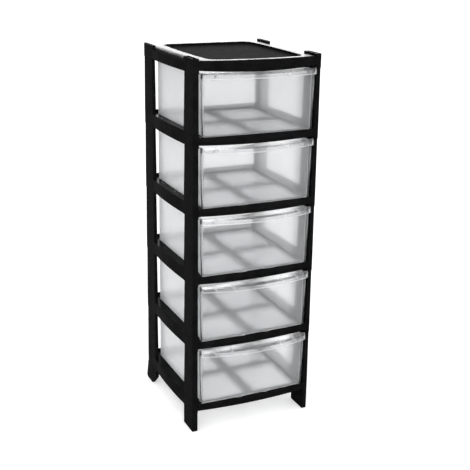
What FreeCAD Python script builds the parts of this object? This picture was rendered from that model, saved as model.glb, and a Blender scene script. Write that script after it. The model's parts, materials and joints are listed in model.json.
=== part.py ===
import FreeCAD, Part
import math
import os

# A free-standing plastic drawer tower, in millimetres.
# Shelf frames and tapered uprights stack into an open black frame.
# A translucent drawer slides on each shelf.
# The frame stands on z = 0, x runs across the front and the drawers open towards -y.

os.makedirs("parts", exist_ok=True)

# Whole frame
frame_width = 336.0
frame_depth = 342.0
level_count = 5
level_pitch = 174.5
floor_clearance = 60.0
corner_round = 6.0
overrun = 5.0

# Corner sockets, which join the uprights to the shelf frames
socket_margin = 0.4
socket_drop = 7.0
socket_rise = 7.5
socket_web = 8.6
spigot_inset = 2.2
spigot_gap = 0.2

# Shelf frame
rail_wall = 3.0
deck_thickness = 3.0
front_rail_height = 18.5
front_rail_dip = 4.5
front_rail_bow = 3.0
side_rail_bulge = 3.5
front_deck_depth = 14.0
side_ledge_overlap = 10.0
rear_ledge_overlap = 8.0
cross_bar_width = 32.0
cross_bar_drop = 6.0
deck_rib_wall = 2.4
deck_rib_depth = 8.0
window_round = 9.0
drawer_stop_gap = 0.5
drawer_stop_height = 6.0

# Uprights, each narrower at its top than at its foot
front_upright_thickness = 13.7
rear_upright_thickness = 9.0
upright_depth = 67.0
upright_outer_draft = 1.3
upright_inner_draft = 0.3
upright_front_draft = 0.6
upright_back_draft = 3.0
upright_inner_round = 1.5

# Feet
foot_sole_round = 6.0
heel_reach = 9.0
heel_drop = 9.0
heel_round = 9.0
rear_sole_length = 36.0
rear_foot_toe_height = 30.0

# Top frame
top_rail_height = 23.0
top_rail_bow = 20.0
top_side_round = 14.0
top_side_crown = 26.0
top_front_round = 4.0
top_corner_round = 13.0
head_rise = 4.5
recess_depth = 6.0
recess_side_margin = 45.0
recess_side_bow = 6.0
recess_front_margin = 10.0
recess_front_bow = 12.0
recess_rear_margin = 17.0
recess_round = 26.0
tray_thickness = 3.0

# Drawer
running_gap = 0.3
drawer_wall = 2.0
drawer_side_margin = 26.2
drawer_rear_margin = 30.5
drawer_headroom = 2.0
drawer_rear_round = 6.0
drawer_base_round = 4.0
drawer_rim_width = 4.0
panel_wall = 2.5
panel_side_gap = 4.4
panel_sill_gap = 0.5
panel_bow = 3.0
panel_corner_round = 8.0
panel_foot_inset = 3.5

# Handle lip of the drawer
lip_end_reach = 14.0
lip_reach = 39.0
lip_wall = 2.0
lip_height = 12.0
lip_corner_round = 8.0
lip_ear_rise = 3.0
lip_ear_drop = 20.0
lip_rib_wall = 1.6
lip_rib_height = 9.0
lip_rib_near = 68.0
lip_rib_far = 113.0

# Places worked out from the sizes above
half_width = frame_width / 2
socket_depth = upright_depth + socket_margin
y_front = lip_reach - (lip_reach + frame_depth + heel_reach) / 2
y_back = y_front + frame_depth
y_middle = (y_front + y_back) / 2
front_reach = half_width - front_upright_thickness - socket_margin
rear_reach = half_width - rear_upright_thickness - socket_margin
deck_top = front_rail_height
socket_top = front_rail_height + socket_rise
spigot_length = (socket_top + socket_drop - socket_web) / 2 - spigot_gap
drawer_bottom = deck_top + running_gap
drawer_top = level_pitch - front_rail_dip - drawer_headroom
drawer_half_width = half_width - drawer_side_margin
drawer_back = y_back - drawer_rear_margin
panel_reach = front_reach - panel_side_gap
window_half_width = drawer_half_width - side_ledge_overlap
window_front = y_front + front_deck_depth
window_back = drawer_back - rear_ledge_overlap
window_middle = (window_front + window_back) / 2
front_socket_end = y_front + socket_depth
rear_socket_start = y_back - socket_depth
diagonal_share = math.sqrt(0.5)
steep_share = 0.5
upright_round_share = 0.6
quarter_turn_share = 0.5523


def vec(x, y, z):
    return FreeCAD.Vector(x, y, z)


def line(a, b):
    return Part.LineSegment(a, b).toShape()


def arc(a, middle, b):
    return Part.Arc(a, middle, b).toShape()


def box(x0, x1, y0, y1, z0, z1):
    return Part.makeBox(x1 - x0, y1 - y0, z1 - z0, vec(x0, y0, z0))


def prism(edges, z0, z1):
    """A solid between two heights from the edges of a flat outline drawn at z = 0."""
    face = Part.Face(Part.Wire(edges))
    solid = face.extrude(vec(0, 0, z1 - z0))
    solid.translate(vec(0, 0, z0))
    return solid


def joined(shapes):
    return shapes[0].fuse(shapes[1:]).removeSplitter()


def mirrored(shape):
    return shape.mirror(vec(0, 0, 0), vec(1, 0, 0))


def steep_edges(shape):
    """The edges of a shape that stand upright."""
    return [edge for edge in shape.Edges if abs(edge.tangentAt(edge.FirstParameter).z) > steep_share]


def lowest_face(shape):
    return min(shape.Faces, key=lambda face: face.CenterOfMass.z)


def bow_rise(x, bow, reach):
    """How far a bowed edge falls back at x from its foremost point in the middle."""
    radius = (reach ** 2 + bow ** 2) / (2 * bow)
    return radius - math.sqrt(radius ** 2 - x ** 2)


def rounded_outline(x0, x1, y0, y1, z, outer, inner):
    """A rectangle with the radius outer at its two x0 corners and inner at its two x1 corners."""
    so = outer - outer * diagonal_share
    si = inner - inner * diagonal_share
    corners = [
        (vec(x0, y0 + outer, z), vec(x0 + so, y0 + so, z), vec(x0 + outer, y0, z)),
        (vec(x1 - inner, y0, z), vec(x1 - si, y0 + si, z), vec(x1, y0 + inner, z)),
        (vec(x1, y1 - inner, z), vec(x1 - si, y1 - si, z), vec(x1 - inner, y1, z)),
        (vec(x0 + outer, y1, z), vec(x0 + so, y1 - so, z), vec(x0, y1 - outer, z)),
    ]
    edges = []
    for index, (a, middle, b) in enumerate(corners):
        edges.append(arc(a, middle, b))
        edges.append(line(b, corners[(index + 1) % len(corners)][0]))
    return edges


def frame_outline(bow, radius, inset):
    """The plan of a frame, drawn in by inset: a bowed front and slightly bulging sides."""
    half = half_width - inset
    front = y_front + inset
    back = y_back - inset
    slope = radius - radius * diagonal_share
    bulge = vec(half + side_rail_bulge, y_middle, 0)
    right = [
        (vec(half - radius, front, 0), vec(half - slope, front + slope, 0), vec(half, front + radius, 0)),
        (vec(half, front + radius, 0), vec(half, front_socket_end, 0)),
        (vec(half, front_socket_end, 0), bulge, vec(half, rear_socket_start, 0)),
        (vec(half, rear_socket_start, 0), vec(half, back - radius, 0)),
        (vec(half, back - radius, 0), vec(half - slope, back - slope, 0), vec(half - radius, back, 0)),
    ]
    edges = []
    for points in right:
        flipped = [vec(-p.x, p.y, p.z) for p in reversed(points)]
        for run in (points, flipped):
            edges.append(line(*run) if len(run) == 2 else arc(*run))
    edges.append(arc(vec(radius - half, front, 0), vec(0, front - bow, 0), vec(half - radius, front, 0)))
    edges.append(line(vec(half - radius, back, 0), vec(radius - half, back, 0)))
    return Part.__sortEdges__(edges)


def front_underside(bow):
    """What is cut away below a front rail, so that its lower edge dips in the middle."""
    x = front_reach
    y0 = y_front - bow - overrun
    y1 = y_front + rail_wall + overrun
    low = -socket_drop - overrun
    outline = [
        line(vec(-x, y0, 0), vec(-x, y0, low)),
        line(vec(-x, y0, low), vec(x, y0, low)),
        line(vec(x, y0, low), vec(x, y0, 0)),
        arc(vec(x, y0, 0), vec(0, y0, -front_rail_dip), vec(-x, y0, 0)),
    ]
    return Part.Face(Part.Wire(outline)).extrude(vec(0, y1 - y0, 0))


def at_rear(shape):
    """Carries a front socket or pocket over to the rear corner of the same side."""
    return shape.mirror(vec(0, y_middle, 0), vec(0, 1, 0))


def spigot(thickness, z0, z1, gap):
    """The plug of an upright or foot, or with a gap the pocket that takes it, at the front left corner."""
    x0 = -half_width + spigot_inset - gap
    x1 = -half_width + thickness - spigot_inset + gap
    y0 = y_front + spigot_inset - gap
    y1 = y_front + upright_depth - upright_back_draft - spigot_inset + gap
    return prism(rounded_outline(x0, x1, y0, y1, 0, upright_inner_round, upright_inner_round), z0, z1)


def pockets(z0, z1):
    """The pockets between two heights at all four corners."""
    front = spigot(front_upright_thickness, z0, z1, spigot_gap)
    rear = at_rear(spigot(rear_upright_thickness, z0, z1, spigot_gap))
    return [front, mirrored(front), rear, mirrored(rear)]


def corner_sockets(z0, z1):
    front = prism(rounded_outline(-half_width, -front_reach, y_front, front_socket_end, 0,
                                  corner_round, upright_inner_round), z0, z1)
    rear = at_rear(prism(rounded_outline(-half_width, -rear_reach, y_front, front_socket_end, 0,
                                         corner_round, upright_inner_round), z0, z1))
    return [front, mirrored(front), rear, mirrored(rear)]


def deck_window(grow, z0, z1):
    """The window in the deck between two heights, its outline moved outwards by grow."""
    x = window_half_width + grow
    y0 = window_front - grow
    y1 = window_back + grow
    radius = window_round + grow
    return prism(rounded_outline(-x, x, y0, y1, 0, radius, radius), z0, z1)


def cross_bars():
    """The two bars that cross the window a little below the deck."""
    high = deck_top - cross_bar_drop
    low = high - deck_thickness
    x = window_half_width + deck_rib_wall / 2
    y0 = window_front - deck_rib_wall / 2
    y1 = window_back + deck_rib_wall / 2
    half = cross_bar_width / 2
    across = box(-x, x, window_middle - half, window_middle + half, low, high)
    return [across, box(-half, half, y0, y1, low, high)]


def rear_underside():
    """What is cut away below a rear rail, so that it ends where the front rail does."""
    y0 = y_back - rail_wall - overrun
    return box(-rear_reach, rear_reach, y0, y_back + overrun, -socket_drop - overrun, 0)


def shelf_rails():
    """The band of rails round a shelf: high at the sides and the back, low at the front."""
    outer = prism(frame_outline(front_rail_bow, corner_round, 0), -socket_drop, socket_top)
    inner_outline = frame_outline(front_rail_bow, corner_round - rail_wall / 2, rail_wall)
    inner = prism(inner_outline, -socket_drop - overrun, socket_top + overrun)
    y0 = y_front - front_rail_bow - overrun
    y1 = y_front + rail_wall + overrun
    above_sill = box(-front_reach, front_reach, y0, y1, deck_top, socket_top + overrun)
    rails = outer.cut(inner)
    for cut in (front_underside(front_rail_bow), above_sill, rear_underside()):
        rails = rails.cut(cut)
    return rails


def drawer_stop():
    """The low ridge behind the drawer."""
    x = window_half_width
    y0 = drawer_back + drawer_stop_gap
    return box(-x, x, y0, y0 + deck_rib_wall, deck_top - deck_thickness, deck_top + drawer_stop_height)


def shelf_frame():
    """One shelf: rails, a deck with a ribbed window and a plus of cross bars in it, stop and sockets."""
    deck = prism(frame_outline(front_rail_bow, corner_round, 0), deck_top - deck_thickness, deck_top)
    rib_low = deck_top - deck_thickness - deck_rib_depth
    rib = deck_window(deck_rib_wall, rib_low, deck_top)
    shape = joined([shelf_rails(), deck, drawer_stop(), rib] + corner_sockets(-socket_drop, socket_top))
    shape = shape.cut(deck_window(0, rib_low - overrun, deck_top + overrun))
    shape = joined([shape] + cross_bars())
    depth = spigot_length + spigot_gap
    lower = pockets(-socket_drop - overrun, -socket_drop + depth)
    upper = pockets(socket_top - depth, socket_top + overrun)
    for pocket in lower + upper:
        shape = shape.cut(pocket)
    return shape


def upright(thickness):
    """The upright of one level at the front left corner, standing on its socket."""
    z0 = socket_top
    z1 = level_pitch - socket_drop
    x0 = -half_width
    x1 = -half_width + thickness
    y0 = y_front
    y1 = y_front + upright_depth
    outer = min(corner_round, thickness * upright_round_share)
    foot = rounded_outline(x0, x1, y0, y1, z0, outer, upright_inner_round)
    head = rounded_outline(x0 + upright_outer_draft, x1 - upright_inner_draft, y0 + upright_front_draft,
                           y1 - upright_back_draft, z1, outer - upright_outer_draft, upright_inner_round)
    body = Part.makeLoft([Part.Wire(foot), Part.Wire(head)], True, True)
    lower = spigot(thickness, z0 - spigot_length, z0, 0)
    upper = spigot(thickness, z1, z1 + spigot_length, 0)
    return joined([body, lower, upper])


def front_foot():
    """The front left foot, a straight run of the upright's section down to its rounded sole."""
    top = floor_clearance - socket_drop
    x0 = -half_width
    x1 = -half_width + front_upright_thickness
    y0 = y_front
    y1 = y_front + upright_depth
    body = prism(rounded_outline(x0, x1, y0, y1, 0, corner_round, upright_inner_round), 0, top)
    r = foot_sole_round
    slope = r - r * diagonal_share
    side = [
        line(vec(x0, y0, top), vec(x0, y0, r)),
        arc(vec(x0, y0, r), vec(x0, y0 + slope, slope), vec(x0, y0 + r, 0)),
        line(vec(x0, y0 + r, 0), vec(x0, y1 - r, 0)),
        arc(vec(x0, y1 - r, 0), vec(x0, y1 - slope, slope), vec(x0, y1, r)),
        line(vec(x0, y1, r), vec(x0, y1, top)),
        line(vec(x0, y1, top), vec(x0, y0, top)),
    ]
    body = body.common(Part.Face(Part.Wire(side)).extrude(vec(front_upright_thickness, 0, 0)))
    return joined([body, spigot(front_upright_thickness, top, top + spigot_length, 0)])


def rear_foot():
    """The rear left foot: a heel reaches back and the sole rises towards the front."""
    top = floor_clearance - socket_drop
    front = y_back - upright_depth
    x0 = -half_width
    sole_back = y_back + heel_reach - heel_round
    sole_front = sole_back - rear_sole_length
    heel = y_back + heel_reach
    slope = heel_round - heel_round * diagonal_share
    outline = [
        line(vec(x0, front, top), vec(x0, front, rear_foot_toe_height)),
        line(vec(x0, front, rear_foot_toe_height), vec(x0, sole_front, 0)),
        line(vec(x0, sole_front, 0), vec(x0, sole_back, 0)),
        arc(vec(x0, sole_back, 0), vec(x0, heel - slope, slope), vec(x0, heel, heel_round)),
        line(vec(x0, heel, heel_round), vec(x0, y_back, top - heel_drop)),
        line(vec(x0, y_back, top - heel_drop), vec(x0, y_back, top)),
        line(vec(x0, y_back, top), vec(x0, front, top)),
    ]
    body = Part.Face(Part.Wire(outline)).extrude(vec(rear_upright_thickness, 0, 0))
    plug = at_rear(spigot(rear_upright_thickness, top, top + spigot_length, 0))
    return joined([body, plug])


def tray_recess(z0, z1):
    """The shallow well in the top, with a bowed front and bowed sides."""
    x = half_width - recess_side_margin
    y0 = y_front + recess_front_margin
    y1 = y_back - recess_rear_margin
    middle = (y0 + y1) / 2
    edges = [
        arc(vec(-x, y0, 0), vec(0, y0 - recess_front_bow, 0), vec(x, y0, 0)),
        arc(vec(x, y0, 0), vec(x + recess_side_bow, middle, 0), vec(x, y1, 0)),
        line(vec(x, y1, 0), vec(-x, y1, 0)),
        arc(vec(-x, y1, 0), vec(-x - recess_side_bow, middle, 0), vec(-x, y0, 0)),
    ]
    well = prism(edges, z0, z1)
    return well.makeFillet(recess_round, steep_edges(well))


def crown(side, y):
    """Half a flat arch: from the side face of the top, at side * x, up and over to its level part."""
    x = half_width + side_rail_bulge
    high = top_rail_height
    wide = top_side_crown
    tall = top_side_round
    points = [
        vec(side * x, y, high - tall),
        vec(side * x, y, high - tall + tall * quarter_turn_share),
        vec(side * (x - wide + wide * quarter_turn_share), y, high),
        vec(side * (x - wide), y, high),
    ]
    curve = Part.BezierCurve()
    curve.setPoles(points)
    return curve.toShape(), points[0], points[-1]


def rounded_shoulders():
    """A long block whose section is that of the top, with wide crowns along its upper edges."""
    low = -socket_drop
    y0 = y_front - top_rail_bow - overrun
    y1 = y_back + overrun
    left, left_foot, left_end = crown(-1, y0)
    right, right_foot, right_end = crown(1, y0)
    left_low = vec(left_foot.x, y0, low)
    right_low = vec(right_foot.x, y0, low)
    section = Part.__sortEdges__([
        left,
        right,
        line(left_end, right_end),
        line(right_foot, right_low),
        line(right_low, left_low),
        line(left_low, left_foot),
    ])
    return Part.Face(Part.Wire(section)).extrude(vec(0, y1 - y0, 0))


def edge_waste(y):
    """The section of what a round takes off the top edge of a front that stands at y."""
    r = top_front_round
    slope = r - r * diagonal_share
    z = top_rail_height
    return Part.Face(Part.Wire([
        arc(vec(0, y, z - r), vec(0, y + slope, z - slope), vec(0, y + r, z)),
        line(vec(0, y + r, z), vec(0, y + r, z + overrun)),
        line(vec(0, y + r, z + overrun), vec(0, y - overrun, z + overrun)),
        line(vec(0, y - overrun, z + overrun), vec(0, y - overrun, z - r)),
        line(vec(0, y - overrun, z - r), vec(0, y, z - r)),
    ]))


def front_edge_waste():
    """The waste along the bowed front edge of the top, turned about the centre of the bow."""
    reach = half_width - top_corner_round
    radius = (reach ** 2 + top_rail_bow ** 2) / (2 * top_rail_bow)
    angle = math.degrees(math.asin(reach / radius))
    centre = vec(0, y_front - top_rail_bow + radius, 0)
    section = edge_waste(y_front - top_rail_bow)
    section.rotate(centre, vec(0, 0, 1), -angle)
    return section.revolve(centre, vec(0, 0, 1), 2 * angle)


def rear_edge_waste():
    """The waste along the straight rear edge of the top."""
    section = edge_waste(y_front)
    section.translate(vec(-half_width, 0, 0))
    return at_rear(section.extrude(vec(frame_width, 0, 0)))


def top_frame():
    """The top: a bowed rim with a shallow tray, and corner sockets with raised, open heads."""
    rim = top_rail_height
    body = prism(frame_outline(top_rail_bow, top_corner_round, 0), -socket_drop, rim)
    body = body.common(rounded_shoulders())
    body = body.cut(front_edge_waste())
    body = body.cut(rear_edge_waste())
    under = rim - recess_depth - tray_thickness
    hollow_outline = frame_outline(top_rail_bow, top_corner_round - rail_wall / 2, rail_wall)
    hollow = prism(hollow_outline, -socket_drop - overrun, under)
    for cut in (hollow, front_underside(top_rail_bow), rear_underside()):
        body = body.cut(cut)
    body = joined([body] + corner_sockets(-socket_drop, rim + head_rise))
    body = body.cut(tray_recess(rim - recess_depth, rim + overrun))
    head_top = rim + head_rise
    depth = spigot_length + spigot_gap
    lower = pockets(-socket_drop - overrun, -socket_drop + depth)
    upper = pockets(head_top - depth, head_top + overrun)
    for pocket in lower + upper:
        body = body.cut(pocket)
    return body


def panel_arc_y(x, face):
    """Where a face of the drawer's bowed front lies at x."""
    return face - panel_bow + bow_rise(x, panel_bow, panel_reach)


def drawer_panel():
    """The bowed front of the drawer, a little narrower at its foot, with rounded lower corners."""
    z0 = drawer_bottom + panel_sill_gap
    beyond = panel_reach + overrun
    outer = panel_arc_y(beyond, y_front)
    inner = panel_arc_y(beyond, y_front + panel_wall)
    outer_middle = vec(0, panel_arc_y(0, y_front), 0)
    inner_middle = vec(0, panel_arc_y(0, y_front + panel_wall), 0)
    edges = [
        arc(vec(-beyond, outer, 0), outer_middle, vec(beyond, outer, 0)),
        line(vec(beyond, outer, 0), vec(beyond, inner, 0)),
        arc(vec(beyond, inner, 0), inner_middle, vec(-beyond, inner, 0)),
        line(vec(-beyond, inner, 0), vec(-beyond, outer, 0)),
    ]
    slab = prism(edges, z0 - overrun, drawer_top + overrun)
    x = panel_reach
    r = panel_corner_round
    slope = r - r * diagonal_share
    y0 = y_front - panel_bow - overrun
    y1 = y_front + panel_wall + overrun
    foot = x - panel_foot_inset
    mask = [
        line(vec(-x, y0, drawer_top), vec(-foot, y0, z0 + r)),
        arc(vec(-foot, y0, z0 + r), vec(slope - foot, y0, z0 + slope), vec(r - foot, y0, z0)),
        line(vec(r - foot, y0, z0), vec(foot - r, y0, z0)),
        arc(vec(foot - r, y0, z0), vec(foot - slope, y0, z0 + slope), vec(foot, y0, z0 + r)),
        line(vec(foot, y0, z0 + r), vec(x, y0, drawer_top)),
        line(vec(x, y0, drawer_top), vec(-x, y0, drawer_top)),
    ]
    return slab.common(Part.Face(Part.Wire(mask)).extrude(vec(0, y1 - y0, 0)))


def drawer_plan(inset, y_start, z0, z1):
    """The drawer's box in plan, drawn in by inset, with a bowed front and rounded rear corners."""
    x = drawer_half_width - inset
    y1 = drawer_back - inset
    r = drawer_rear_round - inset
    slope = r - r * diagonal_share
    y0 = panel_arc_y(x, y_start)
    edges = [
        arc(vec(-x, y0, 0), vec(0, panel_arc_y(0, y_start), 0), vec(x, y0, 0)),
        line(vec(x, y0, 0), vec(x, y1 - r, 0)),
        arc(vec(x, y1 - r, 0), vec(x - slope, y1 - slope, 0), vec(x - r, y1, 0)),
        line(vec(x - r, y1, 0), vec(r - x, y1, 0)),
        arc(vec(r - x, y1, 0), vec(slope - x, y1 - slope, 0), vec(-x, y1 - r, 0)),
        line(vec(-x, y1 - r, 0), vec(-x, y0, 0)),
    ]
    return prism(edges, z0, z1)


def lip_outline(inset, back):
    """The handle lip in plan, drawn in by inset at its front and ends, with its root in the panel."""
    x = panel_reach - inset
    end = y_front - lip_end_reach + inset
    return [
        line(vec(-x, back, 0), vec(-x, end, 0)),
        arc(vec(-x, end, 0), vec(0, y_front - lip_reach + inset, 0), vec(x, end, 0)),
        line(vec(x, end, 0), vec(x, back, 0)),
        arc(vec(x, back, 0), vec(0, back - panel_bow, 0), vec(-x, back, 0)),
    ]


def lip_prism(inset, back, z0, z1):
    solid = prism(lip_outline(inset, back), z0, z1)
    front_corners = sorted(steep_edges(solid), key=lambda edge: edge.CenterOfMass.y)[:2]
    return solid.makeFillet(lip_corner_round - inset, front_corners)


def lip_ear():
    """The flared plate that closes the left end of the lip."""
    x0 = -panel_reach
    y_root = y_front + panel_wall / 2
    y_tip = y_front - lip_end_reach + lip_corner_round
    outline = Part.makePolygon([
        vec(x0, y_root, drawer_top - lip_ear_drop),
        vec(x0, y_tip, drawer_top - lip_height),
        vec(x0, y_tip, drawer_top + lip_ear_rise),
        vec(x0, y_root, drawer_top),
        vec(x0, y_root, drawer_top - lip_ear_drop),
    ])
    return Part.Face(outline).extrude(vec(lip_wall, 0, 0))


def handle_lip():
    """The handle: a bowed shelf with an apron, ribs under it and flared ends."""
    root = y_front + panel_wall / 2
    apron_bottom = drawer_top - lip_height
    whole = lip_prism(0, root, apron_bottom, drawer_top)
    hollow = lip_prism(lip_wall, root + overrun, apron_bottom - overrun, drawer_top - lip_wall)
    parts = [whole.cut(hollow), lip_ear(), mirrored(lip_ear())]
    for place in (lip_rib_near, lip_rib_far):
        for x in (-place, place):
            rib = box(x - lip_rib_wall / 2, x + lip_rib_wall / 2, y_front - lip_reach, y_front,
                      drawer_top - lip_rib_height, drawer_top - lip_wall / 2)
            parts.append(rib.common(whole))
    return parts


def drawer():
    """One drawer moulding: box, bowed front, rim and handle lip."""
    outer = drawer_plan(0, y_front + panel_wall / 2, drawer_bottom, drawer_top)
    base_edges = sorted(lowest_face(outer).Edges, key=lambda edge: edge.CenterOfMass.y)
    outer = outer.makeFillet(drawer_base_round, base_edges[1:])
    rim = drawer_plan(-drawer_rim_width, y_front + panel_wall / 2, drawer_top - drawer_wall, drawer_top)
    body = joined([outer, rim, drawer_panel()] + handle_lip())
    floor_top = drawer_bottom + drawer_wall
    inside = drawer_plan(drawer_wall, y_front + panel_wall, floor_top, drawer_top + overrun)
    inside = inside.makeFillet(drawer_base_round - drawer_wall / 2, lowest_face(inside).Edges)
    return body.cut(inside)


def write(name, shape, z=0):
    placed = shape.copy()
    placed.translate(vec(0, 0, z))
    solids = placed.Solids
    if len(solids) != 1 or not placed.isValid():
        raise ValueError(name + " is not one valid solid")
    solids[0].exportStep("parts/" + name + ".step")
    limits = solids[0].optimalBoundingBox(False, False)
    print(name, "x %.1f %.1f" % (limits.XMin, limits.XMax), "y %.1f %.1f" % (limits.YMin, limits.YMax),
          "z %.1f %.1f" % (limits.ZMin, limits.ZMax))


def main():
    shelf = shelf_frame()
    front = upright(front_upright_thickness)
    rear = at_rear(upright(rear_upright_thickness))
    sliding = drawer()
    for level in range(level_count):
        z = floor_clearance + level * level_pitch
        tag = str(level + 1)
        write("shelf_frame_" + tag, shelf, z)
        write("upright_" + tag + "_front_left", front, z)
        write("upright_" + tag + "_front_right", mirrored(front), z)
        write("upright_" + tag + "_rear_left", rear, z)
        write("upright_" + tag + "_rear_right", mirrored(rear), z)
        write("drawer_" + tag, sliding, z)
    write("foot_front_left", front_foot())
    write("foot_front_right", mirrored(front_foot()))
    write("foot_rear_left", rear_foot())
    write("foot_rear_right", mirrored(rear_foot()))
    write("top_frame", top_frame(), floor_clearance + level_count * level_pitch)


main()
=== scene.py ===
# %% [markdown]
# # A plastic drawer tower
# The object is a free-standing tower of five drawers. Its frame is black plastic: shelves and
# uprights that plug into each other. Its drawers are one translucent moulding each.
# The frame is loaded first, at its real size, and nothing in it is moved.

import json
import math

import bmesh
import bpy
from mathutils import Matrix, Vector

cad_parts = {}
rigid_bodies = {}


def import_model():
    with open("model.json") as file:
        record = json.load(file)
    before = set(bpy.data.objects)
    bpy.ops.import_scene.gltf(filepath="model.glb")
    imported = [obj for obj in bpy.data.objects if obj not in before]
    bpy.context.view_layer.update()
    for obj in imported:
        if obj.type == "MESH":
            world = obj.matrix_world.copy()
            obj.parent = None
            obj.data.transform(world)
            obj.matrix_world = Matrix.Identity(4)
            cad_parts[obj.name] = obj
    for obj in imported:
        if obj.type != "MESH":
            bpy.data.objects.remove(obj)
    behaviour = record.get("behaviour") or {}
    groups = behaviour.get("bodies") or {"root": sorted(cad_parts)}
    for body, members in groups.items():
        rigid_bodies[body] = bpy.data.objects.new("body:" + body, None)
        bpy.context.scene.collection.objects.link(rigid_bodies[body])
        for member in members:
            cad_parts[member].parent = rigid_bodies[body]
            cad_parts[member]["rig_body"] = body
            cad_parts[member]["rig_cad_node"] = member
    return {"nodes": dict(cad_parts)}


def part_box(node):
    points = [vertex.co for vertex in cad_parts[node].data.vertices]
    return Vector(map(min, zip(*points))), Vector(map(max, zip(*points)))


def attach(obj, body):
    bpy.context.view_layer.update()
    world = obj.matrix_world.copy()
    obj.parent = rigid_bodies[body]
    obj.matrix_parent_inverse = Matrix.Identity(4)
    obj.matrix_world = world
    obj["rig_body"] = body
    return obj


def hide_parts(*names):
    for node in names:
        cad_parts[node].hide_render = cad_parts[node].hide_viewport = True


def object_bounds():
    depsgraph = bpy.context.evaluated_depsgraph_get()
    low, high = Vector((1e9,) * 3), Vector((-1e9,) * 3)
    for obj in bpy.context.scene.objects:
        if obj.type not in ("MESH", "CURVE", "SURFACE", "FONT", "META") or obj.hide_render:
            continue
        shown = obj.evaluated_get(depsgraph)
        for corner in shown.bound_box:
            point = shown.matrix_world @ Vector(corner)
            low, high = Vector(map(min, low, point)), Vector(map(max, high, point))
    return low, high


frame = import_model()
cad_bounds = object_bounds()
LEVELS = 5
print("box of the frame", cad_bounds)

# %% [markdown]
# ## Camera
# The photograph looks at the tower from its front left, from a little above its top.
# The camera could be turned by hand until the picture fits, but it was worked out instead:
# corners of the frame were matched with their places in the picture. That gives the lens,
# the place and three angles. The camera's own axes are then built from the angles.

# %% Camera
LENS = 70.49
SENSOR = 36.0
CAMERA_PLACE = Vector((-0.9692, -2.1056, 1.2372))
AZIMUTH = math.radians(-25.077)
ELEVATION = math.radians(18.273)
ROLL = math.radians(0.976)


def camera_axes(azimuth, elevation, roll):
    """The right, up and backward directions of a camera that looks at the tower."""
    back = Vector((math.sin(azimuth) * math.cos(elevation), -math.cos(azimuth) * math.cos(elevation),
                   math.sin(elevation)))
    level_right = Vector((0, 0, 1)).cross(back).normalized()
    level_up = back.cross(level_right)
    right = math.cos(roll) * level_right + math.sin(roll) * level_up
    up = math.cos(roll) * level_up - math.sin(roll) * level_right
    return right, up, back


bpy.ops.object.camera_add(location=CAMERA_PLACE)
camera = bpy.context.active_object
camera.name = "photo_camera"
turn = Matrix(camera_axes(AZIMUTH, ELEVATION, ROLL)).transposed()
camera.matrix_world = Matrix.Translation(CAMERA_PLACE) @ turn.to_4x4()
camera.data.lens = LENS
camera.data.sensor_width = SENSOR
bpy.context.scene.camera = camera
print("camera looks along", -camera.matrix_world.col[2].xyz)

# %% [markdown]
# ## Working by hand, in code
# Modelling by hand is: select something, then use a tool on it. A script does the same with
# operators. They act on all that is selected, so each helper first deselects everything.
# Faces, edges and corners are picked by where they are or where they point.

# %% Helpers for modelling
TINY = 0.00001
ALONG = 0.9
SHARP_ANGLE = 35
BEVEL_STEPS = 2
FLAT_WEIGHT = 90


def use(piece):
    """Selects one piece alone and makes it the active one."""
    if bpy.context.mode != "OBJECT":
        bpy.ops.object.mode_set(mode="OBJECT")
    bpy.ops.object.select_all(action="DESELECT")
    piece.select_set(True)
    bpy.context.view_layer.objects.active = piece


def edit(piece):
    """Selects one piece and goes into edit mode on it."""
    use(piece)
    bpy.ops.object.mode_set(mode="EDIT")


def block(name, low, high):
    """A cube primitive stretched between two corners."""
    if bpy.context.mode != "OBJECT":
        bpy.ops.object.mode_set(mode="OBJECT")
    bpy.ops.object.select_all(action="DESELECT")
    low, high = Vector(low), Vector(high)
    bpy.ops.mesh.primitive_cube_add(size=1, location=(low + high) / 2, scale=high - low)
    piece = bpy.context.active_object
    piece.name = name
    bpy.ops.object.transform_apply()
    return piece


def pick(piece, kind, test):
    """In edit mode, selects what passes a test on its middle and its direction."""
    bpy.ops.mesh.select_mode(type=kind)
    bpy.ops.mesh.select_all(action="DESELECT")
    mesh = bmesh.from_edit_mesh(piece.data)
    if kind == "FACE":
        chosen = [face for face in mesh.faces if test(face.calc_center_median(), face.normal)]
    elif kind == "EDGE":
        chosen = [edge for edge in mesh.edges
                  if test((edge.verts[0].co + edge.verts[1].co) / 2,
                          (edge.verts[1].co - edge.verts[0].co).normalized())]
    else:
        chosen = [corner for corner in mesh.verts if test(corner.co)]
    for item in chosen:
        item.select_set(True)
    bmesh.update_edit_mesh(piece.data)


def cut(place, way):
    """In edit mode, cuts the whole piece along a plane, which only adds edges."""
    bpy.ops.mesh.select_all(action="SELECT")
    bpy.ops.mesh.bisect(plane_co=place, plane_no=way)


def apply_modifier(piece, kind, **settings):
    """Adds a modifier with its settings and applies it."""
    use(piece)
    modifier = piece.modifiers.new(kind.lower(), kind)
    for name, value in settings.items():
        setattr(modifier, name, value)
    bpy.ops.object.modifier_apply(modifier=modifier.name)


def soften(piece, width, angle=SHARP_ANGLE):
    """Rounds the sharp edges of a piece and shades the roundings smooth, the flats flat."""
    apply_modifier(piece, "BEVEL", width=width, segments=BEVEL_STEPS, limit_method="ANGLE", loop_slide=False,
                   angle_limit=math.radians(angle), use_clamp_overlap=False)
    bpy.ops.object.shade_smooth_by_angle(angle=math.radians(angle))
    apply_modifier(piece, "WEIGHTED_NORMAL", mode="FACE_AREA", weight=FLAT_WEIGHT, keep_sharp=True)


def copy_up(piece, name, rise):
    """A copy of a finished piece, with a mesh of its own, that much higher."""
    use(piece)
    bpy.ops.object.duplicate()
    copy = bpy.context.active_object
    copy.name = name
    bpy.ops.transform.translate(value=(0, 0, rise))
    bpy.ops.object.transform_apply()
    return copy


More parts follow.
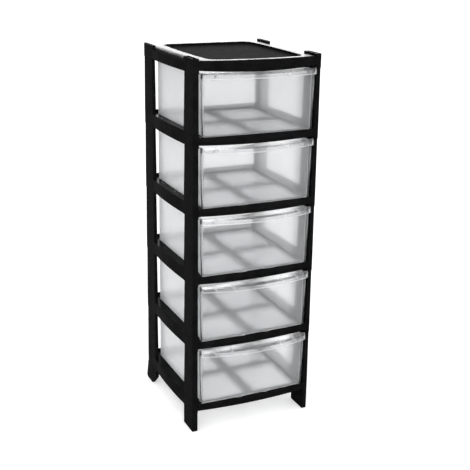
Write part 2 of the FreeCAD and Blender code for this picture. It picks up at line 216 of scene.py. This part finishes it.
# %% [markdown]
# ## Black plastic
# The frame is moulded in black polypropylene with a low sheen. Plain black would look like a
# hole, so the finish has three things of its own: a fine moulded grain, a slow waviness that
# every large moulding has where it shrank, and a roughness that drifts a little. All of them
# come from noise on Object coordinates, so they stay with the piece when it moves. The tray's
# floor has the same finish with a coarser grain, lighter and duller.

# %% Black plastic
NOISE_SPAN = (0.3, 0.7)
MOTTLE_SCALE = 40
WAVE_SCALE = 14
WAVE_HEIGHT = 0.0004
DRIFT_SCALE = 60


def new_material(name):
    """An empty node material, its link function and a helper that adds a node."""
    material = bpy.data.materials.new(name)
    material.use_nodes = True
    tree = material.node_tree
    tree.nodes.clear()

    def add(kind, **values):
        node = tree.nodes.new(kind)
        for key, value in values.items():
            if key in node.inputs:
                node.inputs[key].default_value = value
            else:
                setattr(node, key, value)
        return node

    return material, tree.links.new, add


def noise_range(link, add, place, scale, low, high, detail=2.0):
    """Noise at a scale, spread between two values."""
    noise = add("ShaderNodeTexNoise", Scale=scale, Detail=detail)
    link(place.outputs["Object"], noise.inputs["Vector"])
    spread = add("ShaderNodeMapRange")
    spread.inputs["From Min"].default_value = NOISE_SPAN[0]
    spread.inputs["From Max"].default_value = NOISE_SPAN[1]
    spread.inputs["To Min"].default_value = low
    spread.inputs["To Max"].default_value = high
    link(noise.outputs["Fac"], spread.inputs["Value"])
    return spread.outputs["Result"]


def mottled(link, add, share, dark, light):
    """A colour that wanders between two colours as a noise says."""
    colour = add("ShaderNodeMix", data_type="RGBA")
    colour.inputs["A"].default_value = (*dark, 1)
    colour.inputs["B"].default_value = (*light, 1)
    link(share, colour.inputs["Factor"])
    return colour.outputs["Result"]


def bumped(link, add, height, distance, under=None):
    """A bump whose height is a noise, laid over another bump if there is one."""
    bump = add("ShaderNodeBump", Strength=1.0, Distance=distance)
    link(height, bump.inputs["Height"])
    if under:
        link(under, bump.inputs["Normal"])
    return bump.outputs["Normal"]


def to_output(link, add, surface):
    """Makes a shader the surface of its material."""
    output = add("ShaderNodeOutputMaterial")
    link(surface, output.inputs["Surface"])


def black_plastic(name, dark, light, smooth, rough, grain_scale, grain_height, specular):
    """A black moulded finish between two shades, with a roughness between two values."""
    material, link, add = new_material(name)
    place = add("ShaderNodeTexCoord")
    colour = mottled(link, add, noise_range(link, add, place, MOTTLE_SCALE, 0, 1, detail=4.0), dark, light)
    wave = bumped(link, add, noise_range(link, add, place, WAVE_SCALE, 0, 1), WAVE_HEIGHT)
    grain = noise_range(link, add, place, grain_scale, 0, 1)
    shader = add("ShaderNodeBsdfPrincipled")
    shader.inputs["Specular IOR Level"].default_value = specular
    link(colour, shader.inputs["Base Color"])
    roughness = noise_range(link, add, place, DRIFT_SCALE, smooth, rough, detail=3.0)
    link(roughness, shader.inputs["Roughness"])
    link(bumped(link, add, grain, grain_height, under=wave), shader.inputs["Normal"])
    to_output(link, add, shader.outputs["BSDF"])
    return material


frame_black = black_plastic("black_polypropylene", dark=(0.0042, 0.0042, 0.0043),
                            light=(0.0075, 0.0075, 0.0077), smooth=0.20, rough=0.27,
                            grain_scale=1400, grain_height=0.00001, specular=0.002)
tray_black = black_plastic("grained_tray_black", dark=(0.009, 0.009, 0.0092),
                           light=(0.015, 0.015, 0.0153), smooth=0.6, rough=0.7,
                           grain_scale=900, grain_height=0.00004, specular=0.0007)
print("black finishes", frame_black.name, tray_black.name)

# %% [markdown]
# ## Frosted plastic
# A drawer is milky where the mould was frosted. Light goes through its walls, but only dark
# things close behind them show, and blurred. So the finish has two shares. One is scattered:
# half of it back, as from milk, and half onwards, as through a lamp shade. The other lets the
# view through, a part of it blurred and a part of it sharp. A cloudy noise drifts the share
# that is scattered. Shadow rays pass nearly whole, or a drawer would stand in its own shadow.
# There is no gloss, because a frosted face has none that shows.

# %% Frosted plastic
FROST_GRAIN_SCALE = 900
FROST_GRAIN_HEIGHT = 0.00002
BLUR_SCALE = 30
FROST_BLUR = (0.50, 0.56)
FROST_BEND = 1.05
CLOUD_SCALE = 18
MILK = (0.955, 0.96, 0.965, 1)
MILK_THROUGH = (0.975, 0.98, 0.985, 1)
ONWARD_SHARE = 0.5
SHARP_TINT = (0.985, 0.988, 0.99, 1)
RED_LOSS = 0.005
GREEN_LOSS = 0.002


def mix_shaders(link, add, share, first, second):
    """Mixes two shaders, by a number or by a socket."""
    mix = add("ShaderNodeMixShader")
    if isinstance(share, float):
        mix.inputs[0].default_value = share
    else:
        link(share, mix.inputs[0])
    link(first, mix.inputs[1])
    link(second, mix.inputs[2])
    return mix.outputs["Shader"]


def see_behind(link, add, place, tint, blur, bend, ripple):
    """A shader that lets the view through and blurs it, between two roughnesses."""
    glass = add("ShaderNodeBsdfRefraction", IOR=bend)
    glass.inputs["Color"].default_value = (tint - RED_LOSS, tint - GREEN_LOSS, tint, 1)
    link(noise_range(link, add, place, BLUR_SCALE, *blur), glass.inputs["Roughness"])
    link(ripple, glass.inputs["Normal"])
    return glass.outputs["BSDF"]


def pass_shadows(link, add, body, shade):
    """Lets the light of lamps and world pass a body, and sends the body to the output."""
    path = add("ShaderNodeLightPath")
    passing = add("ShaderNodeBsdfTransparent")
    passing.inputs["Color"].default_value = (shade, shade, shade, 1)
    to_output(link, add, mix_shaders(link, add, path.outputs["Is Shadow Ray"], body, passing.outputs["BSDF"]))


def blurred_and_sharp(link, add, place, tint, sharp_tint, sharp_share, grain):
    """The view through a frosted face, partly blurred and partly sharp."""
    blurred = see_behind(link, add, place, tint, FROST_BLUR, FROST_BEND, grain)
    sharp = add("ShaderNodeBsdfTransparent")
    sharp.inputs["Color"].default_value = sharp_tint
    return mix_shaders(link, add, sharp_share, blurred, sharp.outputs["BSDF"])


def frost_grain(link, add, place):
    """The fine grain of a frosted mould."""
    return bumped(link, add, noise_range(link, add, place, FROST_GRAIN_SCALE, 0, 1), FROST_GRAIN_HEIGHT)


def frosted_plastic(name, least, most):
    """A milky finish that scatters that share of the light and lets the rest through."""
    material, link, add = new_material(name)
    place = add("ShaderNodeTexCoord")
    grain = frost_grain(link, add, place)
    milk = add("ShaderNodeBsdfDiffuse")
    milk.inputs["Color"].default_value = MILK
    link(grain, milk.inputs["Normal"])
    through = add("ShaderNodeBsdfTranslucent")
    through.inputs["Color"].default_value = MILK_THROUGH
    scattered = mix_shaders(link, add, ONWARD_SHARE, milk.outputs["BSDF"], through.outputs["BSDF"])
    behind = blurred_and_sharp(link, add, place, tint=0.99, sharp_tint=SHARP_TINT, sharp_share=0.55,
                               grain=grain)
    cloud = noise_range(link, add, place, CLOUD_SCALE, least, most, detail=3.0)
    pass_shadows(link, add, mix_shaders(link, add, cloud, behind, scattered), shade=0.96)
    return material


frosted = frosted_plastic("frosted_polypropylene", least=0.64, most=0.72)
floor_frost = frosted_plastic("frosted_floor_polypropylene", least=0.77, most=0.83)
half_frosted = frosted_plastic("half_frosted_polypropylene", least=0.30, most=0.36)
faint_frost = frosted_plastic("faintly_frosted_polypropylene", least=0.07, most=0.11)
print("frosted finishes", frosted.name, floor_frost.name, half_frosted.name, faint_frost.name)

# %% [markdown]
# ## Smooth and clear plastic
# Only the outer faces of the box are frosted. Were the inner faces frosted too, light would
# be scattered twice and little behind would show, so they only blur the view.
# The front was polished: it is clear, with a breath of haze, a slow ripple and a gloss that
# grows towards a grazing view.

# %% Smooth and clear plastic
INNER_SHARP_TINT = (0.99, 0.992, 0.995, 1)
RIPPLE_SCALE = 45
RIPPLE_HEIGHT = 0.00004
CLEAR_BLUR = (0.10, 0.14)
CLEAR_BEND = 1.03
CLEAR_ROUGH = (0.12, 0.18)
GLOSS_INDEX = 1.15
HAZE = (0.95, 0.955, 0.96, 1)
HAZE_SCALE = 22
HAZE_SHARE = (0.07, 0.11)


def smooth_inside():
    """The finish of the inner faces, which scatter nothing."""
    material, link, add = new_material("smooth_polypropylene")
    place = add("ShaderNodeTexCoord")
    grain = frost_grain(link, add, place)
    body = blurred_and_sharp(link, add, place, tint=0.995, sharp_tint=INNER_SHARP_TINT, sharp_share=0.7,
                             grain=grain)
    pass_shadows(link, add, body, shade=0.98)
    return material


def glossed(link, add, place, body, ripple):
    """Lays a gloss over a body, which grows towards a grazing view."""
    gloss = add("ShaderNodeBsdfGlossy")
    gloss.inputs["Color"].default_value = (1, 1, 1, 1)
    link(noise_range(link, add, place, BLUR_SCALE, *CLEAR_ROUGH), gloss.inputs["Roughness"])
    link(ripple, gloss.inputs["Normal"])
    grazing = add("ShaderNodeFresnel", IOR=GLOSS_INDEX)
    link(ripple, grazing.inputs["Normal"])
    return mix_shaders(link, add, grazing.outputs["Fac"], body, gloss.outputs["BSDF"])


def clear_plastic():
    """The polished finish of the front."""
    material, link, add = new_material("clear_polypropylene")
    place = add("ShaderNodeTexCoord")
    ripple = bumped(link, add, noise_range(link, add, place, RIPPLE_SCALE, 0, 1), RIPPLE_HEIGHT)
    behind = see_behind(link, add, place, 0.99, CLEAR_BLUR, CLEAR_BEND, ripple)
    haze = add("ShaderNodeBsdfTranslucent")
    haze.inputs["Color"].default_value = HAZE
    hazy = noise_range(link, add, place, HAZE_SCALE, *HAZE_SHARE)
    body = mix_shaders(link, add, hazy, behind, haze.outputs["BSDF"])
    pass_shadows(link, add, glossed(link, add, place, body, ripple), shade=0.97)
    return material


inner_smooth = smooth_inside()
clear = clear_plastic()
print("smooth finishes", inner_smooth.name, clear.name)

# %% [markdown]
# ## Frame
# The shelves, uprights, feet and top already have their right shape in the loaded frame. What
# they lack is the soft edge that every moulding has, and without it no edge catches light.
# Rounding the loaded meshes isn't allowed, and rebuilding them could only make them worse, so
# each is copied. The copy's loose triangles are joined and its sharp edges are bevelled.
# One level is finished first, and then copied to the others.

# %% Softened copies of the frame
EDGE_ROUND = 0.0007
CORNERS = ("front_left", "front_right", "rear_left", "rear_right")


def softened_copy(node, name, angle=SHARP_ANGLE):
    """A copy of a frame piece with joined triangles and rounded edges."""
    use(frame["nodes"][node])
    bpy.ops.object.duplicate()
    piece = bpy.context.active_object
    piece.name = name
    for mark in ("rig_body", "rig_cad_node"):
        del piece[mark]
    bpy.ops.object.parent_clear(type="CLEAR")
    bpy.ops.mesh.customdata_custom_splitnormals_clear()
    edit(piece)
    bpy.ops.mesh.select_all(action="SELECT")
    bpy.ops.mesh.remove_doubles(threshold=TINY)
    soften(piece, EDGE_ROUND, angle)
    piece.data.materials.clear()
    piece.data.materials.append(frame_black)
    return piece


def join_frame(piece, node):
    """Puts a finished piece in the frame's place and hides the node that it stands for."""
    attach(piece, "tower_frame")
    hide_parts(node)


repeated = [("shelf_frame_%d", "shelf_%d")]
for corner in CORNERS:
    repeated.append(("upright_%d_" + corner, "post_%d_" + corner))
for node, name in repeated:
    first = softened_copy(node % 1, name % 1)
    for level in range(LEVELS, 1, -1):
        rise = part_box(node % level)[0].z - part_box(node % 1)[0].z
        join_frame(copy_up(first, name % level, rise), node % level)
    join_frame(first, node % 1)
    print(name % 1, len(first.data.polygons), "faces")

for corner in CORNERS:
    join_frame(softened_copy("foot_" + corner, "foot_end_" + corner), "foot_" + corner)

# %% [markdown]
# ## Top
# The top is the one large level surface. Its tray has a coarser, duller grain than the rest,
# so that things don't slide. A second material on the faces of the tray floor gives that,
# and the faces are found by their height and by their pointing up.

# %% Top
TRAY_FLOOR = 0.9495
TRAY_SLACK = 0.0002
TOP_SHARP_ANGLE = 50

top = softened_copy("top_frame", "top_shelf", angle=TOP_SHARP_ANGLE)
top.data.materials.append(tray_black)
for face in top.data.polygons:
    if abs(face.center.z - TRAY_FLOOR) < TRAY_SLACK and face.normal.z > ALONG:
        face.material_index = 1
join_frame(top, "top_frame")
print("top", len(top.data.polygons), "faces")

# %% [markdown]
# ## Drawer
# A drawer is one moulding: a thin box, a bowed front that is wider than the box, and a handle
# lip along its top. Each is made from a cube of its size. The box is opened, rounded, given a
# rolled rim and then a wall. Then all are united into one closed mesh, so that light meets
# no wall inside the plastic, and the drawer is copied to the other levels.

# %% Sizes of the drawer
drawer_low, drawer_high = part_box("drawer_1")
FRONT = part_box("upright_1_front_left")[0].y
EAR_RISE = 0.003
REACH = drawer_high.x
DRAWER_TOP = drawer_high.z - EAR_RISE
WALL = 0.002
PANEL_WALL = 0.0025
PANEL_BOW = 0.003
ROOT = FRONT + PANEL_WALL / 2
COLUMNS = 24
ROUND_PLACES = 5


def arc_radius(depth):
    """The radius of an arc across the whole width that is that deep."""
    return (REACH ** 2 + depth ** 2) / (2 * depth)


def bow(piece, depth, is_front):
    """Pushes the picked front of a piece forward along an arc, column by column."""
    radius = arc_radius(depth)
    edit(piece)
    mesh = bmesh.from_edit_mesh(piece.data)
    for x in sorted({round(corner.co.x, ROUND_PLACES) for corner in mesh.verts if is_front(corner.co)}):
        pick(piece, "VERT", lambda co: abs(co.x - x) < TINY and is_front(co))
        push = math.sqrt(radius ** 2 - x ** 2) - radius + depth
        bpy.ops.transform.translate(value=(0, -push, 0))


def cut_columns(piece):
    """Cuts a piece across its width, so that it can bow."""
    edit(piece)
    for step in range(1, COLUMNS):
        cut((REACH * (2 * step / COLUMNS - 1), 0, 0), (1, 0, 0))


print("drawer", drawer_low, drawer_high)

# %% [markdown]
# The box is also cut into rows from front to back. They don't change its shape: long faces
# with many corners gave thin slanting lines in the see-through plastic, and short ones don't.
# The wall's outer side is frosted, its floor a little milkier, and its inner side smooth.

# %% Box of the drawer
BODY_HALF = 0.1418
BODY_BACK_GAP = 0.004
BODY_BACK = drawer_high.y - BODY_BACK_GAP
BODY_CORNER = 0.006
CORNER_STEPS = 10
BASE_ROUND = 0.004
BASE_STEPS = 4
RIM_REACH = 0.002
RIM_DROP = 0.003
ROWS = 12

body = block("drawer_body", (-BODY_HALF, ROOT, drawer_low.z), (BODY_HALF, BODY_BACK, DRAWER_TOP - WALL))
edit(body)
pick(body, "EDGE", lambda at, way: abs(way.z) > ALONG and at.y > 0)
bpy.ops.mesh.bevel(offset=BODY_CORNER, segments=CORNER_STEPS, affect="EDGES")
pick(body, "FACE", lambda at, out: out.z > ALONG or out.y < -ALONG)
bpy.ops.mesh.delete(type="FACE")
pick(body, "EDGE", lambda at, way: at.z < drawer_low.z + TINY and at.y > ROOT + TINY)
bpy.ops.mesh.bevel(offset=BASE_ROUND, segments=BASE_STEPS, affect="EDGES")
pick(body, "EDGE", lambda at, way: at.z > DRAWER_TOP - WALL - TINY)
bpy.ops.mesh.extrude_edges_move()
wider = (BODY_HALF + RIM_REACH) / BODY_HALF
longer = (BODY_BACK + RIM_REACH - ROOT) / (BODY_BACK - ROOT)
bpy.ops.transform.resize(value=(wider, longer, 1), center_override=(0, ROOT, 0))
bpy.ops.mesh.extrude_edges_move()
bpy.ops.transform.translate(value=(0, 0, -RIM_DROP))
cut_columns(body)
for step in range(1, ROWS):
    cut((0, ROOT + (BODY_BACK - ROOT) * step / ROWS, 0), (0, 1, 0))
for finish in (frosted, inner_smooth, floor_frost):
    body.data.materials.append(finish)
apply_modifier(body, "SOLIDIFY", thickness=WALL, offset=-1, use_even_offset=True, material_offset=1,
               material_offset_rim=1)
for face in body.data.polygons:
    if face.center.z < drawer_low.z + TINY:
        face.material_index = 2
bow(body, PANEL_BOW, lambda co: co.y < ROOT + TINY)
print("body", len(body.data.polygons), "faces")

# %% [markdown]
# The panel is a cube too, cut into columns and pushed forward in the middle. Its lower corners
# are rounded in the way that it is seen from the front, and a narrow return runs back from
# each end: it stiffens the panel, and shows as a bright line at its edge. A thin shoulder joins
# the return to the box. One more level cut, below the handle's ears, keeps the columns short
# where the ears are united with them.

# %% Front panel of the drawer
PANEL_CORNER = 0.004
PANEL_STEPS = 6
RETURN_WALL = 0.0016
RETURN_DEPTH = 0.006
SILL_GAP = 0.0005
FOOT_INSET = 0.0035
EAR_DROP = 0.020
panel_low = drawer_low.z + SILL_GAP
return_back = FRONT + PANEL_WALL + RETURN_DEPTH


def narrow_foot(piece, side):
    """Leans one end of a piece inwards, by moving its lower outer corners on that side."""
    edit(piece)
    pick(piece, "VERT", lambda co: co.x * side > BODY_HALF and co.z < DRAWER_TOP - WALL - TINY)
    bpy.ops.transform.translate(value=(-side * FOOT_INSET, 0, 0))


def end_block(name, side, inner, front):
    """A block at one end of the panel, from its inner side and front to the return's back."""
    ends = sorted((side * inner, side * REACH))
    piece = block(name, (ends[0], front, panel_low + PANEL_CORNER), (ends[1], return_back, DRAWER_TOP - WALL))
    narrow_foot(piece, side)
    return piece


panel = block("drawer_panel", (-REACH, FRONT, panel_low), (REACH, FRONT + PANEL_WALL, DRAWER_TOP))
for side in (-1, 1):
    narrow_foot(panel, side)
pick(panel, "EDGE", lambda at, way: abs(way.y) > ALONG and at.z < panel_low + TINY)
bpy.ops.mesh.bevel(offset=PANEL_CORNER, segments=PANEL_STEPS, affect="EDGES")
cut_columns(panel)
cut((0, 0, DRAWER_TOP - EAR_DROP - EDGE_ROUND), (0, 0, 1))
bow(panel, PANEL_BOW, lambda co: True)

returns = [end_block("panel_return", side, REACH - RETURN_WALL, ROOT) for side in (-1, 1)]
shoulders = [end_block("panel_shoulder", side, BODY_HALF - WALL / 2, return_back - RETURN_WALL)
             for side in (-1, 1)]
print("panel", len(panel.data.polygons), "faces,", len(returns), "returns,", len(shoulders), "shoulders")

# %% [markdown]
# The handle is a shelf that bows far out in the middle, with an apron along its front. Under
# it the moulding is hollow, so that fingers can pull, and thin ribs brace the apron. Its ends
# flare into small upright ears. A level cut parts the foot of the apron from the rest. That
# strip gets a half frosted finish, a painted highlight that shows as a bright line along the
# edge. The ribs get the same finish, which paints glints on them.

# %% Handle lip of the drawer
LIP_REACH = 0.014
LIP_END = FRONT - LIP_REACH
LIP_BOW = LIP_END - drawer_low.y
LIP_CORNER = 0.008
LIP_STEPS = 6
LIP_HEIGHT = 0.012
# Below this height the apron's foot strip is finished milkier, as a painted highlight line.
GLINT_STRIP_HEIGHT = 0.0022
glint_strip_top = DRAWER_TOP - LIP_HEIGHT + GLINT_STRIP_HEIGHT
lip = block("drawer_lip", (-REACH, LIP_END, DRAWER_TOP - LIP_HEIGHT), (REACH, ROOT, DRAWER_TOP))
edit(lip)
pick(lip, "EDGE", lambda at, way: abs(way.z) > ALONG and at.y < LIP_END + TINY)
bpy.ops.mesh.bevel(offset=LIP_CORNER, segments=LIP_STEPS, affect="EDGES")
pick(lip, "FACE", lambda at, out: out.z < -ALONG or out.y > ALONG)
bpy.ops.mesh.delete(type="FACE")
cut_columns(lip)
cut((0, 0, glint_strip_top), (0, 0, 1))
bow(lip, LIP_BOW, lambda co: co.y < ROOT - TINY)
bow(lip, PANEL_BOW, lambda co: co.y > ROOT - TINY)
apply_modifier(lip, "SOLIDIFY", thickness=WALL, offset=-1, use_even_offset=True)
print("lip", len(lip.data.polygons), "faces")

# %% Ribs and ears of the lip
RIB_WALL = 0.0016
RIB_HEIGHT = 0.009
RIB_PLACES = (0.068, 0.113)
EAR_TIP = LIP_END + LIP_CORNER


def lip_front(x):
    """Where the front of the lip lies at x."""
    radius = arc_radius(LIP_BOW)
    return LIP_END - math.sqrt(radius ** 2 - x ** 2) + radius - LIP_BOW


ribs = []
for place in RIB_PLACES:
    for x in (-place, place):
        ribs.append(block("lip_rib", (x - RIB_WALL / 2, lip_front(x) + WALL / 2, DRAWER_TOP - RIB_HEIGHT),
                          (x + RIB_WALL / 2, ROOT, DRAWER_TOP - WALL / 2)))

ears = []
for side in (-1, 1):
    ends = sorted((side * REACH, side * (REACH - WALL)))
    ear = block("lip_ear", (ends[0], EAR_TIP, DRAWER_TOP - EAR_DROP), (ends[1], ROOT, DRAWER_TOP))
    edit(ear)
    pick(ear, "VERT", lambda co: co.y < EAR_TIP + TINY and co.z < DRAWER_TOP - TINY)
    bpy.ops.transform.translate(value=(0, 0, EAR_DROP - LIP_HEIGHT))
    pick(ear, "VERT", lambda co: co.y < EAR_TIP + TINY and co.z > DRAWER_TOP - TINY)
    bpy.ops.transform.translate(value=(0, 0, EAR_RISE))
    ears.append(ear)
print(len(ribs), "ribs,", len(ears), "ears")

# %% [markdown]
# Uniting takes the overlaps away. Each piece has its material before that, and a face keeps it,
# so the finished drawer is frosted at its box and clear at its front.

# %% One drawer, then five
DRAWER_ROUND = 0.0004


def finish_mesh(piece, material=None):
    """Makes all faces of a piece point outwards and gives it a material."""
    edit(piece)
    bpy.ops.mesh.select_all(action="SELECT")
    bpy.ops.mesh.remove_doubles(threshold=TINY / 10)
    bpy.ops.mesh.normals_make_consistent(inside=False)
    use(piece)
    if material:
        piece.data.materials.clear()
        piece.data.materials.append(material)


drawer = body
finish_mesh(drawer)
lip.data.materials.append(clear)
lip.data.materials.append(half_frosted)
# The faces of the apron's foot strip take the half frosted finish: a painted highlight line.
for face in lip.data.polygons:
    if face.center.z < glint_strip_top:
        face.material_index = 1
# The ribs are real, but their half frosted finish paints glints on them.
finishes = [(shoulders, faint_frost), ([panel], clear), ([lip], None), (returns, clear),
            (ribs, half_frosted), (ears, clear)]
for pieces, finish in finishes:
    for piece in pieces:
        finish_mesh(piece, finish)
        apply_modifier(drawer, "BOOLEAN", operation="UNION", object=piece, solver="EXACT",
                       material_mode="TRANSFER")
        bpy.data.objects.remove(piece)
soften(drawer, DRAWER_ROUND)
drawer.name = "clear_drawer_1"

for level in range(LEVELS, 0, -1):
    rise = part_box("drawer_%d" % level)[0].z - drawer_low.z
    piece = copy_up(drawer, "clear_drawer_%d" % level, rise) if level > 1 else drawer
    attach(piece, "sliding_drawer_%d" % level)
    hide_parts("drawer_%d" % level)
print("drawer", len(drawer.data.polygons), "faces", [m.name for m in drawer.data.materials])

# %% [markdown]
# ## Floor
# The photograph shows the tower cut out on white. The floor is a plane of pale matt plaster,
# which keeps the tower's soft shadow. A little glow lifts it to white where the camera sees
# it, straight or through a drawer. Light that bounces off the floor has none of that glow.

# %% Floor
FLOOR_SIZE = 30.0
FLOOR_SHADES = (0.90, 0.92)
FLOOR_NOISE_SCALE = 3
FLOOR_GLOW = 0.35

use(drawer)
bpy.ops.mesh.primitive_plane_add(size=FLOOR_SIZE)
floor = bpy.context.active_object
floor.name = "studio_floor"
plaster, link, add = new_material("pale_floor")
drift = noise_range(link, add, add("ShaderNodeTexCoord"), FLOOR_NOISE_SCALE, 0, 1)
matt = add("ShaderNodeBsdfDiffuse")
link(mottled(link, add, drift, [FLOOR_SHADES[0]] * 3, [FLOOR_SHADES[1]] * 3), matt.inputs["Color"])
path = add("ShaderNodeLightPath")
seen = add("ShaderNodeMath", operation="MAXIMUM")
link(path.outputs["Is Camera Ray"], seen.inputs[0])
link(path.outputs["Is Transmission Ray"], seen.inputs[1])
glow_strength = add("ShaderNodeMath", operation="MULTIPLY")
link(seen.outputs[0], glow_strength.inputs[0])
glow_strength.inputs[1].default_value = FLOOR_GLOW
glow = add("ShaderNodeEmission")
link(glow_strength.outputs[0], glow.inputs["Strength"])
both = add("ShaderNodeAddShader")
link(matt.outputs["BSDF"], both.inputs[0])
link(glow.outputs["Emission"], both.inputs[1])
to_output(link, add, both.outputs["Shader"])
floor.data.materials.append(plaster)
print("floor", floor.name)

# %% [markdown]
# ## World
# The world is plain white at strength 1. That is the level at which a colour renders as it is
# written, and it is also the white of the photograph's background.

# %% World
world = bpy.data.worlds.new("white_studio")
bpy.context.scene.world = world
world.use_nodes = True
background = world.node_tree.nodes["Background"]
background.inputs["Color"].default_value = (1, 1, 1, 1)
background.inputs["Strength"].default_value = 1.0
print("world", world.name)

# %% [markdown]
# ## Lamps
# The world alone would light all sides alike. A wide, soft lamp high in front reaches into the
# drawers and gives the tower a lit side. A rim lamp stands behind the tower, where the top
# would mirror it to the camera. It lights nothing, and only its reflection shows, which makes
# the level edges of the black plastic shine.

# %% Lamps
TOWER_MIDDLE = Vector((0, 0, 0.5))
TOP_CENTRE = Vector((0, 0, cad_bounds[1][2]))
RIM_LAMP_REACH = 2.5
FRONT_LAMP_PLACE = Vector((-1.1, -3.0, 2.1))


def soft_lamp(name, place, aim, width, height, radiance, shine_only=False):
    """A rectangular lamp of a given brightness per area, turned towards a point, unseen itself."""
    bpy.ops.object.light_add(type="AREA", location=place)
    lamp = bpy.context.active_object
    lamp.name = name
    lamp.data.shape = "RECTANGLE"
    lamp.data.size = width
    lamp.data.size_y = height
    lamp.data.energy = radiance * math.pi * width * height
    lamp.rotation_euler = (aim - place).to_track_quat("-Z", "Y").to_euler()
    lamp.visible_camera = False
    lamp.visible_transmission = False
    lamp.visible_diffuse = not shine_only
    print(name, "power", round(lamp.data.energy, 1), "W")


away = TOP_CENTRE - CAMERA_PLACE
mirror_way = Vector((away.x, away.y, -away.z)).normalized()
soft_lamp("rim_lamp", TOP_CENTRE + mirror_way * RIM_LAMP_REACH, TOP_CENTRE, width=1.3, height=0.8,
          radiance=11.0, shine_only=True)
soft_lamp("front_lamp", FRONT_LAMP_PLACE, TOWER_MIDDLE, width=2.6, height=2.0, radiance=2.8)

# %% [markdown]
# ## Finish
# The picture settings stay plain: a colour renders as it is written.

# %% Finish
bpy.context.scene.view_settings.view_transform = "Standard"
if bpy.context.mode != "OBJECT":
    bpy.ops.object.mode_set(mode="OBJECT")
